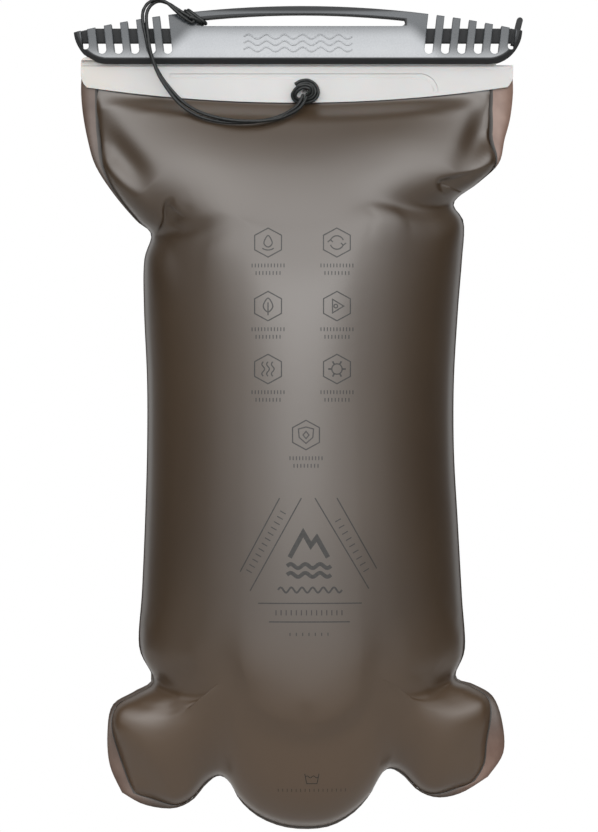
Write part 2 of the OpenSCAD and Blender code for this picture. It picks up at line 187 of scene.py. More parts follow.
class Nodes:
    """A material's node tree with short calls for the nodes used here."""

    def __init__(self, name):
        self.material = bpy.data.materials.new(name)
        self.material.use_nodes = True
        self.tree = self.material.node_tree
        self.shader = self.tree.nodes["Principled BSDF"]
        self.output = self.tree.nodes["Material Output"]

    def node(self, kind, **values):
        made = self.tree.nodes.new(kind)
        for key, value in values.items():
            if hasattr(made, key):
                setattr(made, key, value)
            else:
                made.inputs[key.replace("_", " ")].default_value = value
        return made

    def link(self, a, b):
        self.tree.links.new(a, b)

    def place(self, stretch=(1, 1, 1)):
        coords = self.node("ShaderNodeTexCoord")
        mapping = self.node("ShaderNodeMapping")
        mapping.inputs["Scale"].default_value = stretch
        self.link(coords.outputs["Object"], mapping.inputs["Vector"])
        return mapping.outputs["Vector"]

    def noise(self, scale, detail=3.0, rough=0.5, stretch=(1, 1, 1)):
        n = self.node("ShaderNodeTexNoise")
        n.inputs["Scale"].default_value = scale
        n.inputs["Detail"].default_value = detail
        n.inputs["Roughness"].default_value = rough
        self.link(self.place(stretch), n.inputs["Vector"])
        return n.outputs["Fac"]

    def ramp(self, value, stops):
        r = self.node("ShaderNodeValToRGB")
        while len(r.color_ramp.elements) < len(stops):
            r.color_ramp.elements.new(0.5)
        for element, (at, colour) in zip(r.color_ramp.elements, stops):
            element.position = at
            element.color = colour if len(colour) == 4 else (*colour, 1)
        self.link(value, r.inputs["Fac"])
        return r.outputs["Color"]

    def spread(self, value, low, high, start=0.0, end=1.0):
        m = self.node("ShaderNodeMapRange")
        m.inputs["From Min"].default_value = start
        m.inputs["From Max"].default_value = end
        m.inputs["To Min"].default_value = low
        m.inputs["To Max"].default_value = high
        self.link(value, m.inputs["Value"])
        return m.outputs["Result"]

    def blend(self, factor, a, b, kind="MIX"):
        m = self.node("ShaderNodeMix", data_type="RGBA", blend_type=kind)
        colours = [s for s in m.inputs if s.type == "RGBA"]
        factors = [s for s in m.inputs if s.type == "VALUE"]
        for socket, value in ((factors[0], factor), (colours[0], a), (colours[1], b)):
            if hasattr(value, "is_output"):
                self.link(value, socket)
            elif isinstance(value, (int, float)):
                socket.default_value = value
            else:
                socket.default_value = (*value, 1)
        return [s for s in m.outputs if s.type == "RGBA"][0]

    def bump(self, height, strength, distance, below=None):
        b = self.node("ShaderNodeBump")
        b.inputs["Strength"].default_value = strength
        b.inputs["Distance"].default_value = distance
        self.link(height, b.inputs["Height"])
        if below is not None:
            self.link(below, b.inputs["Normal"])
        return b.outputs["Normal"]

    def axes(self):
        """X, Y and Z of the surface in the frame."""
        coords, split = self.node("ShaderNodeTexCoord"), self.node("ShaderNodeSeparateXYZ")
        self.link(coords.outputs["Object"], split.inputs[0])
        return split.outputs

    def maths(self, kind, *values):
        m = self.node("ShaderNodeMath", operation=kind)
        for socket, value in zip(m.inputs, values):
            if hasattr(value, "is_output"):
                self.link(value, socket)
            else:
                socket.default_value = value
        return m.outputs[0]

    def fade(self, value, start, end, low=0.0, high=1.0):
        """Low below start, high above end, and smooth between."""
        m = self.node("ShaderNodeMapRange", interpolation_type="SMOOTHSTEP")
        ends = ((start, end, low, high) if start < end else (end, start, high, low))
        for name, number in zip(("From Min", "From Max", "To Min", "To Max"), ends):
            m.inputs[name].default_value = number
        self.link(value, m.inputs["Value"])
        return m.outputs["Result"]

    def rounded(self, radius):
        """A normal that rounds every edge of a machined piece."""
        b = self.node("ShaderNodeBevel", samples=4)
        b.inputs["Radius"].default_value = radius
        return b.outputs["Normal"]

    def set(self, **values):
        for key, value in values.items():
            socket = self.shader.inputs[key.replace("_", " ")]
            if hasattr(value, "is_output"):
                self.link(value, socket)
            else:
                socket.default_value = value


def film_material():
    """Smoky polyurethane: satin, a little uneven in tone, with a very fine matt grain."""
    n = Nodes("smoky_film")
    cloud = n.noise(9, 3, 0.55)
    tone = n.ramp(cloud, [(0.3, (0.024, 0.0145, 0.0075)), (0.7, (0.032, 0.020, 0.0105))])
    grain = n.noise(2600, 2, 0.6)
    wave = n.noise(40, 2, 0.5, (1, 1, 0.35))
    soft = n.bump(wave, 0.08, 0.002)
    x, y, z = n.axes()[:3]
    aside, above = n.maths("ADD", x, 0.003), n.maths("SUBTRACT", z, STRIP_RADIUS - 0.0413)
    reach = n.maths("SQRT", n.maths("ADD", n.maths("MULTIPLY", aside, aside), n.maths("MULTIPLY", above, above)))
    # Painted shadow: a thin near-black band on the film just below the mouth strip's curved lower edge stands in for
    # the strip's contact shadow.
    line = n.maths("MULTIPLY", n.fade(reach, STRIP_RADIUS + 0.0010, STRIP_RADIUS + 0.0004), n.fade(z, -0.06, -0.05))
    # Painted reflected light: the base colour turns lighter and browner towards the bottom, standing in for warm
    # light bounced up from below.
    tone = n.blend(n.fade(z, -0.28, -0.39), tone, (0.052, 0.031, 0.016))
    tone = n.blend(line, tone, (0.008, 0.006, 0.005))
    n.set(Base_Color=tone, Roughness=n.spread(grain, 0.32, 0.39), Normal=n.bump(grain, 0.10, 0.00012, soft),
          Coat_Weight=0.4, Coat_Roughness=0.36, IOR=1.55)
    return n.material


def seam_material():
    """Welded double film without water behind it. Painted backlight: lighter, warmer and clearer-looking where the
    point attribute says so, as if light shone through it from behind.
    """
    n = Nodes("weld_film")
    backlight_glow = n.node("ShaderNodeAttribute", attribute_name="backlight_glow").outputs["Fac"]
    cloud = n.noise(60, 3, 0.6)
    plain = n.ramp(cloud, [(0.3, (0.024, 0.017, 0.012)), (0.75, (0.040, 0.031, 0.024))])
    # Painted backlight: the lighter, warmer colour the weld would show with light shining through it from behind.
    backlit_colour = n.ramp(cloud, [(0.3, (0.100, 0.058, 0.043)), (0.75, (0.165, 0.108, 0.085))])
    fine = n.bump(n.noise(900, 2, 0.6), 0.15, 0.0003)
    n.set(Base_Color=n.blend(backlight_glow, plain, backlit_colour), Roughness=0.50, Normal=fine, IOR=1.5)
    return n.material


def seam_line_material():
    """The pressed line along the weld's inner edge."""
    n = Nodes("weld_line")
    n.set(Base_Color=n.ramp(n.noise(120, 2), [(0.3, (0.014, 0.012, 0.010)), (0.7, (0.024, 0.021, 0.018))]),
          Roughness=0.6)
    return n.material


def print_material():
    n = Nodes("print_ink")
    tone = n.ramp(n.noise(700, 2, 0.6), [(0.35, (0.010, 0.009, 0.008)), (0.7, (0.018, 0.017, 0.015))])
    n.set(Base_Color=tone, Roughness=0.5, IOR=1.42)
    return n.material


def strip_material():
    """Milky stiffener plastic over the film, with the film's brown showing faintly at its left end."""
    n = Nodes("milky_plastic")
    cloud = n.noise(14, 3, 0.5)
    tone = n.ramp(cloud, [(0.3, (0.290, 0.288, 0.285)), (0.7, (0.340, 0.338, 0.334))])
    cream = n.fade(n.axes()[0], -0.075, -0.108, 0.0, 0.6)
    lower = n.bump(n.noise(180, 3, 0.5, (0.3, 1, 1)), 0.06, 0.0006, n.rounded(0.0003))
    n.set(Base_Color=n.blend(cream, tone, (0.352, 0.327, 0.292)), Roughness=n.spread(n.noise(400, 2), 0.30, 0.42),
          Subsurface_Weight=0.25, Subsurface_Scale=0.003, Normal=lower)
    return n.material


def bar_material():
    """Moulded dark slate plastic, polished, with painted light: a painted reflection makes the face paler, and
    painted shade darkens the turned-under lip, the recessed rail in the windows and the slot under the arch.
    """
    n = Nodes("slate_plastic")
    x, y, z = n.axes()[:3]
    aside = n.maths("ABSOLUTE", x)
    # Painted reflection and shade: the pale face colour on the lower middle of the front stands in for the softbox's
    # reflection, and the darker top and ends are painted shade.
    drop = n.maths("ADD", z, n.fade(aside, 0.052, 0.072, 0.0, 0.013))
    cloud = n.noise(30, 3, 0.5)
    slate = n.ramp(cloud, [(0.3, (0.019, 0.023, 0.027)), (0.7, (0.026, 0.031, 0.036))])
    face = n.ramp(cloud, [(0.3, (0.208, 0.218, 0.231)), (0.7, (0.236, 0.246, 0.258))])
    body = n.blend(n.fade(drop, 0.0, -0.010), slate, face)
    # Painted shade: near-black colour, with higher roughness, on the turned-under lip, the recessed rail seen through
    # the windows and the slot under the arch.
    past = n.maths("SUBTRACT", x, n.maths("MINIMUM", n.maths("MAXIMUM", x, -0.097), 0.093))
    below = n.maths("MINIMUM", n.maths("ADD", z, 0.005), 0.0)
    reach = n.maths("SQRT", n.maths("ADD", n.maths("MULTIPLY", past, past), n.maths("MULTIPLY", below, below)))
    lip = n.fade(reach, 0.0137, 0.0144)
    centre = n.maths("ADD", z, 0.4873)
    arc = n.maths("SQRT", n.maths("ADD", n.maths("MULTIPLY", x, x), n.maths("MULTIPLY", centre, centre)))
    thin = n.maths("SUBTRACT", arc, n.fade(x, 0.0, -0.05, 0.0, 0.0007))
    slot = n.maths("MULTIPLY", n.fade(thin, 0.4911, 0.4906), n.fade(z, -0.0033, -0.0028))
    slot = n.maths("MULTIPLY", slot, n.fade(aside, 0.0530, 0.0520))
    inside = n.fade(n.maths("ABSOLUTE", y), 0.0033, 0.0026)
    dark = n.maths("MAXIMUM", n.maths("MAXIMUM", lip, inside), slot)
    fine = n.noise(900, 2, 0.5)
    rough = n.maths("MAXIMUM", n.spread(fine, 0.25, 0.30), n.maths("MULTIPLY", dark, 0.75))
    n.set(Base_Color=n.blend(dark, body, (0.006, 0.007, 0.008)), Roughness=rough,
          Normal=n.bump(fine, 0.01, 0.00005, n.rounded(0.0009)), IOR=1.5)
    return n.material


def dark_plastic(name, low, high, rough=0.42):
    n = Nodes(name)
    fine = n.noise(1100, 3, 0.6)
    n.set(Base_Color=n.ramp(n.noise(60, 3), [(0.3, low), (0.7, high)]),
          Roughness=n.spread(fine, rough - 0.06, rough + 0.08),
          Normal=n.bump(fine, 0.25, 0.00015, n.rounded(0.0003)))
    return n.material


def steel_material(name, rough):
    n = Nodes(name)
    streak = n.noise(500, 2, 0.5, (1, 0.08, 1))
    n.set(Base_Color=n.ramp(streak, [(0.3, (0.50, 0.51, 0.53)), (0.7, (0.66, 0.67, 0.69))]), Metallic=1.0,
          Roughness=n.spread(streak, rough, rough + 0.14), Normal=n.bump(streak, 0.12, 0.0001))
    return n.material


def cord_material():
    """Dark braided elastic with a slight sheen on its strands."""
    n = Nodes("braided_elastic")
    fine = n.noise(2400, 2, 0.5)
    n.set(Base_Color=n.ramp(fine, [(0.35, (0.003, 0.004, 0.004)), (0.7, (0.009, 0.010, 0.010))]),
          Roughness=0.45, IOR=1.38, Normal=n.bump(fine, 0.4, 0.0003))
    return n.material


FILM = film_material()
SEAM = seam_material()
SEAM_LINE = seam_line_material()
INK = print_material()
STRIP = strip_material()
BAR = bar_material()
CORD = cord_material()
PORT = dark_plastic("port_plastic", (0.030, 0.033, 0.037), (0.045, 0.048, 0.053))
BUTTON = dark_plastic("button_plastic", (0.028, 0.12, 0.27), (0.04, 0.16, 0.34), 0.36)
VALVE = dark_plastic("natural_acetal", (0.62, 0.62, 0.60), (0.74, 0.74, 0.72), 0.34)
RUBBER = dark_plastic("black_silicone", (0.012, 0.012, 0.013), (0.02, 0.02, 0.021), 0.5)
LATCH = steel_material("stamped_steel", 0.25)
WIRE = steel_material("spring_wire", 0.18)

# ---------------------------------------------------------------- tether

CORD_RADIUS = 0.00085
STRAND_GAP = 0.0010
STRAND_TURNS = 1.5
TETHER_ROUTE = [(1.5, -5, -38), (-2, -8.5, -44), (-10, -14, -49), (-20, -17, -51.5), (-31, -18, -52),
                (-41, -17.5, -51), (-51, -15.5, -48), (-59, -12.5, -43), (-65.5, -10.5, -36), (-71.5, -9.5, -27),
                (-75.5, -9.5, -17), (-77.5, -8.5, -7), (-78.5, -6.5, 0), (-78, -5.5, 4.5), (-75.5, -5, 8),
                (-71.5, -5.3, 9.5), (-67, -5.7, 8), (-63, -6, 5), (-59, -6.3, 2), (-54.8, -6.4, -0.6)]
KNOT = Vector((0.0015, -0.0046, -0.034))


def strand(side, t):
    route = np.array(TETHER_ROUTE) * MM
    centre = on_curve(route, t)
    along = unit(on_curve(route, t + 0.01) - on_curve(route, t - 0.01))
    a = unit(np.cross(along, (0, 1, 0)))
    b = np.cross(along, a)
    turn = (2 * math.pi * STRAND_TURNS * t)[:, None]
    return centre + side * STRAND_GAP * (np.cos(turn) * a + np.sin(turn) * b)


def braided(path, radius, sides=16, lay=0.0034, depth=0.07):
    """A tube whose surface carries two crossing sets of raised strands."""
    verts, faces = tube(path, radius, sides)
    path = np.asarray(path)
    run = np.concatenate([[0], np.cumsum(np.linalg.norm(np.diff(path, axis=0), axis=1))])
    out = []
    for i, v in enumerate(verts):
        ring, k = divmod(i, sides)
        angle = 2 * math.pi * k / sides
        turn = 2 * math.pi * run[ring] / lay
        ridge = max(math.cos(4 * angle + turn), math.cos(4 * angle - turn))
        out.append(path[ring] + (np.asarray(v) - path[ring]) * (1 + depth * (ridge - 0.6)))
    return out, faces


def make_tether():
    steps = 330
    t = np.linspace(0, 1, steps)
    out, back = strand(1, t), strand(-1, t[::-1])
    centre, onward = (out[-1] + back[0]) / 2, unit(out[-1] - out[-6] + back[0] - back[5])
    a = np.linspace(0, np.pi, 13)[1:-1, None]
    bight = centre + np.cos(a) * (out[-1] - centre) + STRAND_GAP * np.sin(a) * onward
    path = np.concatenate([out, bight, back])
    verts, faces = braided(path, CORD_RADIUS)
    cord = new_object("tether", verts, faces, CORD)
    length = float(np.linalg.norm(np.diff(path, axis=0), axis=1).sum())
    return cord, path, length


KNOT_ROUTE = [(-4.6, -1.5, 1.0), (-2.2, -1.2, 2.5), (1.4, -0.3, 3.0), (4.7, 0.0, 1.0), (5.9, -0.2, -2.4),
              (4.2, 0.1, -5.4), (0.4, 0.9, -6.6), (-3.8, 0.4, -6.4), (-5.6, -0.5, -4.0), (-4.2, -1.6, -1.3),
              (-0.9, -2.4, 0.5), (2.5, -2.2, -0.3), (2.9, -1.5, -2.9), (0.9, -0.5, -4.4)]
ARCH_WRAP = [(-50.6, -5.3, -1.3), (-54, -5.0, 1.2), (-57.4, -3.9, 3.9), (-58.4, 0, 4.7), (-57.4, 3.9, 3.9),
             (-54, 5.0, 1.2), (-50.6, 4.9, -1.3), (-49.7, 2, -1.8), (-49.7, -2.4, -1.8)]
HITCH_LEAD = [(-56.4, -7.9, 0.9), (-54.2, -7.6, 0.6), (-52.0, -6.9, -0.5), (-50.4, -5.3, -1.4), (-49.9, -2.0, -1.7),
              (-49.7, 1.5, -1.6)]


def join(name, parts, material):
    """One object from several lists of vertices and faces."""
    verts, faces = [], []
    for v, f in parts:
        faces += [tuple(i + len(verts) for i in face) for face in f]
        verts += list(v)
    return new_object(name, verts, faces, material)


def make_knot():
    """The overhand knot at the eyelet, tied in the doubled cord, with its short cut ends."""
    centre, parts = np.array(KNOT), []
    t = np.linspace(0, 1, 160)
    route = centre + on_curve(np.array(KNOT_ROUTE) * MM, t)
    aside = unit(np.cross(np.gradient(route, axis=0), (0, 1, 0)))
    for side in (-1, 1):
        path = route + side * 0.00072 * aside + np.array((0, 0.0004 * side, 0))
        parts.append(braided(path[: len(path) - (0 if side < 0 else 3)], CORD_RADIUS * 0.95))
    return join("tether_knot_cord", parts, CORD)


def make_hitch():
    """Two turns round the bar's arch, with the lead that holds the tether's bight."""
    parts = [braided(on_curve(np.array(HITCH_LEAD) * MM, np.linspace(0, 1, 60)), CORD_RADIUS)]
    for shift in ((0, 0, 0), (1.5, -0.2, 0.3)):
        ring = list(np.array(ARCH_WRAP) + shift)
        ring = np.array(ring[-1:] + ring + ring[:2]) * MM
        n = len(ring) - 1
        t = np.linspace(1 / n, (n - 1) / n, 91)[:-1]
        path = on_curve(ring, t)
        verts, faces = tube(path, CORD_RADIUS, 16, closed=True)
        parts.append((verts, faces))
    return join("tether_hitch_cord", parts, CORD)


def make_spring(node, axis, turns, wire):
    """A compression spring with closed end turns in its CAD box."""
    low, high = (np.array(side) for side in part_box(node))
    centre, (a, b) = (low + high) / 2, [k for k in range(3) if k != axis]
    turn = np.linspace(0, turns, turns * 20 + 1)
    path = np.tile(centre, (len(turn), 1))
    path[:, a] += ((high - low)[a] / 2 - wire) * np.cos(2 * np.pi * turn)
    path[:, b] += ((high - low)[a] / 2 - wire) * np.sin(2 * np.pi * turn)
    path[:, axis] = mix(low[axis] + wire, high[axis] - wire, np.clip((turn - 0.6) / (turns - 1.2), 0, 1))
    verts, faces = tube(path, wire, 10)
    spring = new_object(node + "_coil", verts, faces, WIRE)
    clean_normals(spring)
    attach(spring, "reservoir")
    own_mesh(spring)
    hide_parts(node)


make_spring("valve_spring", 1, 5, 0.00035)
make_spring("latch_spring", 2, 3, 0.00018)

tether, tether_path, tether_length = make_tether()
knot = make_knot()
hitch = make_hitch()

# ---------------------------------------------------------------- the filled bag

LEFT_EDGE = [(-110, -25), (-110.5, -35), (-109.5, -47), (-107, -60), (-103, -73), (-94, -87), (-83, -100),
             (-75.5, -107), (-79, -120), (-79, -145), (-77.5, -180), (-77.5, -215), (-78.5, -250),
             (-80, -285), (-81.5, -313), (-75, -329), (-84, -335.5), (-94.5, -342), (-97, -355),
             (-96, -372), (-90, -386)]
RIGHT_EDGE = [(105, -25), (105.5, -36), (104, -49), (101, -60), (98, -72), (88, -81.5), (76, -91),
              (81, -101), (80, -120), (78, -145), (76, -180), (76, -215), (78, -252), (80, -288),
              (81.5, -314), (77, -328), (86, -332), (95.5, -338), (100, -351), (100.5, -366), (93, -378)]
BOTTOM_EDGE = [(-90, -386), (-79, -392), (-65, -394), (-55, -390), (-48, -382), (-41.5, -377.5), (-36, -381),
               (-31, -390), (-22, -398), (-10, -403), (3, -404.3), (15, -402.5), (26, -396), (34, -387),
               (38, -379), (43, -374), (50, -377), (58, -385), (68, -388.5), (80, -386), (93, -378)]
FLAT_WIDTH = 0.209            # the pouch laid flat, between its welds
strip_low, strip_high = (np.array(c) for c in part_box("front_mouth_strip"))
FLAT_SHARE = 0.05             # the strips hold this much of the film flat; the CAD's film has 0.08
TOP_FULLNESS = 0.85           # below 1 the film stands out steeply under the strips
BULGE = {-1: 0.051, 1: 0.047}
port_low, port_high = (np.array(c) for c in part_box("port_flange"))
PORT_CENTRE = (port_low + port_high) / 2
PORT_FACE = port_low[1]
PORT_RADIUS = (port_high[0] - port_low[0]) / 2


def patch(u, v):
    """A place on the bag's face in X and Z: u across and v down, between its four edges."""
    l, r = on_curve(LEFT_EDGE, v), on_curve(RIGHT_EDGE, v)
    b = on_curve(BOTTOM_EDGE, u)
    tl, tr, bl, br = (np.array(c, float) for c in
                      (LEFT_EDGE[0], RIGHT_EDGE[0], BOTTOM_EDGE[0], BOTTOM_EDGE[-1]))
    u, v = np.asarray(u)[..., None], np.asarray(v)[..., None]
    top = mix(tl, tr, u)
    return (mix(top, b, v) + mix(l, r, u) - mix(mix(tl, tr, u), mix(bl, br, u), v)) * MM


def swell(u, v):
    """How full the bag stands out at a place, from 0 at its edges to 1. u and v are grids: a row each has one v.
    The pinched corners pull in the edge only, so the fullness across follows an outline smoothed past them."""
    row, fine = v[:, 0], np.linspace(0, 1, 401)
    half = (on_curve(RIGHT_EDGE, fine)[:, 0] - on_curve(LEFT_EDGE, fine)[:, 0]) / 2
    reach = np.exp(-((fine[:, None] - fine[None, :]) / 0.055) ** 2)
    eased = np.maximum((reach @ half) / reach.sum(1), half)
    looser = np.interp(row, fine, eased / half)[:, None]
    edgeward = np.abs(2 * u - 1)
    across = np.maximum(0, 1 - (edgeward / looser) ** 2.1) ** 0.56
    across *= np.maximum(0, 1 - edgeward ** 9) ** (0.5 * np.clip((looser - 1) / 0.08, 0, 1))
    flat = FLAT_SHARE * (1 - 0.45 * edgeward ** 2)
    upper = np.sin(np.pi / 2 * np.clip((v - flat) / (0.5 - flat), 0, 1)) ** TOP_FULLNESS
    lower = np.maximum(0, 1 - np.clip((v - 0.5) / 0.5, 0, 1) ** 2.6) ** 0.55
    return across * np.where(v < 0.5, upper, lower)


def seam_wave(x, z):
    """How far the welded edge comes forward (-Y) or goes back, in metres, at the ears and lobes."""
    def bump(z0, width):
        return math.exp(-((z - z0) / width) ** 2)
    left, right = ease(-x / 0.05), ease(x / 0.05)
    return float(left * (-0.006 * bump(-0.078, 0.020) + 0.003 * bump(-0.112, 0.012)
                         + 0.004 * bump(-0.328, 0.010) - 0.006 * bump(-0.356, 0.018))
                 + right * (-0.007 * bump(-0.070, 0.018) + 0.004 * bump(-0.095, 0.010)
                            + 0.004 * bump(-0.327, 0.010) - 0.005 * bump(-0.352, 0.018)))


def weld_width(x, z):
    """Width of the visible weld: broad on the ears and lobes, a hair's breadth down the sides."""
    if x < 0:
        ear = np.interp(-z, (0.030, 0.045, 0.062, 0.073, 0.085, 0.100, 0.106),
                        (0.0074, 0.0066, 0.0048, 0.0032, 0.0016, 0.0011, 0))
    else:
        ear = np.interp(-z, (0.030, 0.045, 0.058, 0.068, 0.076), (0.0104, 0.0094, 0.0066, 0.0026, 0))
    corner = ease((abs(x) - 0.068) / 0.018) * ease((-(0.352 if x < 0 else 0.338) - z) / 0.028)
    lobe = mix(0.0016, 0.0068, corner) * ease((-0.324 - z) / 0.014)
    lobe *= ease((abs(abs(x) - 0.041) - 0.001) / 0.010)
    return float(0.0003 + max(ear, lobe))


NU, NV = 60, 112              # cells across and down one panel
SIM_FRAMES = 34
PRESSURE = 100.0
SETTLED_SHARE = 0.65          # how much of the settled shape's movement the film takes
CLEAR_DROP = 0.036            # below the strips the film swells out over this height, behind the tether
# Folds pressed into the front film: depth, then the half widths to the right and to the left of the line,
# all in millimetres, then the line in X and Z. A negative depth is a soft ridge.
CREASES = [(2.8, 0.8, 7.0, [(-63, -90.5), (-66.8, -92.3), (-68, -96), (-68.2, -101), (-71, -106.5), (-74.5, -112)]),
           (-1.6, 6.0, 6.0, [(-97, -72), (-88, -84), (-80, -94), (-74, -100)]),
           (5.0, 8.0, 8.0, [(-100, -44), (-96, -60), (-84, -76), (-76, -85)]),
           (2.6, 1.2, 7.0, [(97.5, -73), (85, -77.5), (75, -80.5), (68.5, -82.5), (70.5, -87.5), (75, -92)]),
           (6.0, 7.5, 7.5, [(92, -36), (90, -52), (85, -66), (76, -78)]),
           (-1.5, 5.0, 5.0, [(94, -76), (85, -82), (78, -87)]),
           (1.6, 1.6, 4.0, [(-77, -330), (-70, -334), (-60, -336)]),
           (1.6, 4.0, 1.6, [(78, -328), (71, -332), (62, -335)])]


def row_places():
    """v of each row: closer together at the ears and lobes, where the film folds."""
    v = np.linspace(0, 1, 801)
    edge = on_curve(LEFT_EDGE, v)
    run = np.concatenate([[0], np.cumsum(np.linalg.norm(np.diff(edge, axis=0), axis=1))])
    share = 0.45 * v + 0.55 * run / run[-1]
    return np.interp(np.linspace(0, 1, NV + 1), share, v)


def column_places():
    """u of each column: closer together towards the welds."""
    t = np.linspace(-1, 1, NU + 1)
    return 0.5 + 0.5 * (t * 1.22 - 0.22 * t ** 3)


def pouch_grid():
    """The welded edge's inside, as a grid of X and Z places and their share of swelling."""
    u, v = column_places(), row_places()
    uu, vv = np.meshgrid(u, v)
    left, right, bottom = on_curve(LEFT_EDGE, v) * MM, on_curve(RIGHT_EDGE, v) * MM, on_curve(BOTTOM_EDGE, u) * MM
    wide = np.linalg.norm(right - left, axis=1)
    lw = np.array([weld_width(*p) for p in left]) / wide
    rw = np.array([weld_width(*p) for p in right]) / wide
    high = (LEFT_EDGE[0][1] - LEFT_EDGE[-1][1]) * MM
    bw = np.array([weld_width(*p) for p in bottom]) / high
    u2 = lw[:, None] + uu * (1 - lw - rw)[:, None]
    v2 = vv * (1 - bw)[None, :]
    place = patch(u2, v2)
    wave_l = np.array([seam_wave(*p) for p in left])[:, None] * (1 - uu) ** 3
    wave_r = np.array([seam_wave(*p) for p in right])[:, None] * uu ** 3
    full = swell(uu, vv)
    return uu, vv, place, full, (wave_l + wave_r) * (1 - full)


def flat_pattern(uu, place, full):
    """The same grid as it was cut: straight rows on a flat sheet, as long as the filled middle."""
    y = -BULGE[-1] * full
    middle = np.c_[place[:, NU // 2], y[:, NU // 2]]
    run = np.concatenate([[0], np.cumsum(np.linalg.norm(np.diff(middle, axis=0), axis=1))])
    z = place[0, 0, 1] - run[:, None] + 0 * uu
    x = (uu - 0.5) * FLAT_WIDTH + place[0, :, 0].mean()
    return x, z


def strip_edge(x):
    """Height of the mouth strip's curved lower edge, with its round corners."""
    x = float(np.clip(x, strip_low[0], strip_high[0]))
    arc = strip_low[2] + STRIP_RADIUS - math.sqrt(STRIP_RADIUS ** 2 - (x + 0.003) ** 2)
    corner = max(0.0, STRIP_CORNER - min(x - strip_low[0], strip_high[0] - x))
    return arc + STRIP_CORNER - math.sqrt(STRIP_CORNER ** 2 - corner ** 2)


LEAVE_DROP = 0.010            # the film leaves the strips' lower edge over this height


def pouch_mesh():
    """Front and back film joined along the weld: start shape, flat shape, faces and seam flags."""
    uu, vv, place, full, wave = pouch_grid()
    flat_x, flat_z = flat_pattern(uu, place, full)
    index, verts, flat, seam = {}, [], [], []
    ids = np.zeros((2, NV + 1, NU + 1), int)
    for s, side in enumerate((-1, 1)):
        for j in range(NV + 1):
            for i in range(NU + 1):
                edge = i in (0, NU) or j in (0, NV)
                key = (0 if edge else side, j, i)
                if key not in index:
                    index[key] = len(verts)
                    drop = strip_edge(place[j, i, 0]) - place[j, i, 1]
                    out = BULGE[side] * full[j, i] * ease((drop + 0.001) / LEAVE_DROP)
                    y = wave[j, i] + (0 if edge else side * (0.0004 + out))
                    held = edge or drop < 0.0012
                    verts.append((place[j, i, 0], y, place[j, i, 1]))
                    flat.append((flat_x[j, i], 0 if edge else side * 0.0004, flat_z[j, i]))
                    seam.append(held)
                ids[s, j, i] = index[key]
    faces = []
    for s in (0, 1):
        for j in range(NV):
            for i in range(NU):
                q = (ids[s, j, i], ids[s, j, i + 1], ids[s, j + 1, i + 1], ids[s, j + 1, i])
                faces.append(q if s else q[::-1])
    return np.array(verts), np.array(flat), faces, np.array(seam), ids


def inflate(obj, flat, held):
    """Lets the film settle under an even pressure, with its weld held where it is."""
    scene = bpy.context.scene
    obj.shape_key_add(name="start")
    key = obj.shape_key_add(name="flat")
    key.data.foreach_set("co", flat.ravel())
    group = obj.vertex_groups.new(name="weld")
    group.add([int(i) for i in np.flatnonzero(held)], 1.0, "REPLACE")
    cloth = obj.modifiers.new("film", "CLOTH")
    s = cloth.settings
    s.vertex_group_mass = "weld"
    s.rest_shape_key = key
    s.quality = 10
    s.mass = 0.002
    s.air_damping = 6
    s.tension_stiffness = s.shear_stiffness = 22
    s.compression_stiffness = 6
    s.bending_stiffness = 4
    s.tension_damping = s.compression_damping = s.shear_damping = 6
    s.use_pressure = True
    s.uniform_pressure_force = PRESSURE
    s.effector_weights.gravity = 0
    cloth.collision_settings.use_collision = False
    cloth.point_cache.frame_start = 1
    cloth.point_cache.frame_end = SIM_FRAMES
    for f in range(1, SIM_FRAMES + 1):
        scene.frame_set(f)
    settled = obj.evaluated_get(bpy.context.evaluated_depsgraph_get())
    co = np.empty(len(obj.data.vertices) * 3)
    settled.data.vertices.foreach_get("co", co)
    obj.modifiers.remove(cloth)
    obj.shape_key_clear()
    obj.vertex_groups.clear()
    scene.frame_set(1)
    return co.reshape(-1, 3)


def along(line, x, z):
    """Distance in X and Z from each point to a smooth line, below 0 on its right, and the share of the line there."""
    line = on_curve(np.array(line, float) * MM, np.linspace(0, 1, 25))
    nearest, share = np.full(len(x), 1.0), np.zeros(len(x))
    for k in range(len(line) - 1):
        a, d = line[k], line[k + 1] - line[k]
        t = np.clip(((x - a[0]) * d[0] + (z - a[1]) * d[1]) / (d @ d), 0, 1)
        r = np.hypot(x - a[0] - t * d[0], z - a[1] - t * d[1])
        side = np.where(d[0] * (z - a[1]) - d[1] * (x - a[0]) < 0, -1, 1)
        closer = r < np.abs(nearest)
        share = np.where(closer, (k + t) / (len(line) - 1), share)
        nearest = np.where(closer, r * side, nearest)
    return nearest, share


def settle_film(start, settled):
    """The settled shape, but still as it began just below the strips, where the tether hangs in front of it."""
    drop = np.array([strip_edge(x) - z for x, y, z in start])
    return mix(start, settled, SETTLED_SHARE * ease(drop / CLEAR_DROP)[:, None])


def press_film(obj):
    """Sharp creases at the pinched corners, and the flat seat under the hose port.
    Unlike the CAD's back_panel, the film has no hole for the port: it runs on across it."""
    co = np.empty(len(obj.data.vertices) * 3)
    obj.data.vertices.foreach_get("co", co)
    co = co.reshape(-1, 3)
    x, y, z = co.T
    for depth, right, left, line in CREASES:
        distance, share = along(line, x, z)
        width = np.where(distance < 0, right, left) * MM
        sink = depth * MM * np.exp(-(distance / width) ** 2) * np.sin(np.pi * np.clip(share, 0, 1)) ** 1.5
        y = np.where(y < 0, np.minimum(y + sink, np.minimum(0, y * 0.3)), y)
    r = np.hypot(x - PORT_CENTRE[0], z - PORT_CENTRE[2])
    seat = np.where(y > 0, 1 - ease((r - PORT_RADIUS - 0.002) / 0.021), 0)
    y = mix(y, PORT_FACE, seat)
    co[:, 1] = y
    obj.data.vertices.foreach_set("co", co.ravel())
    obj.data.update()


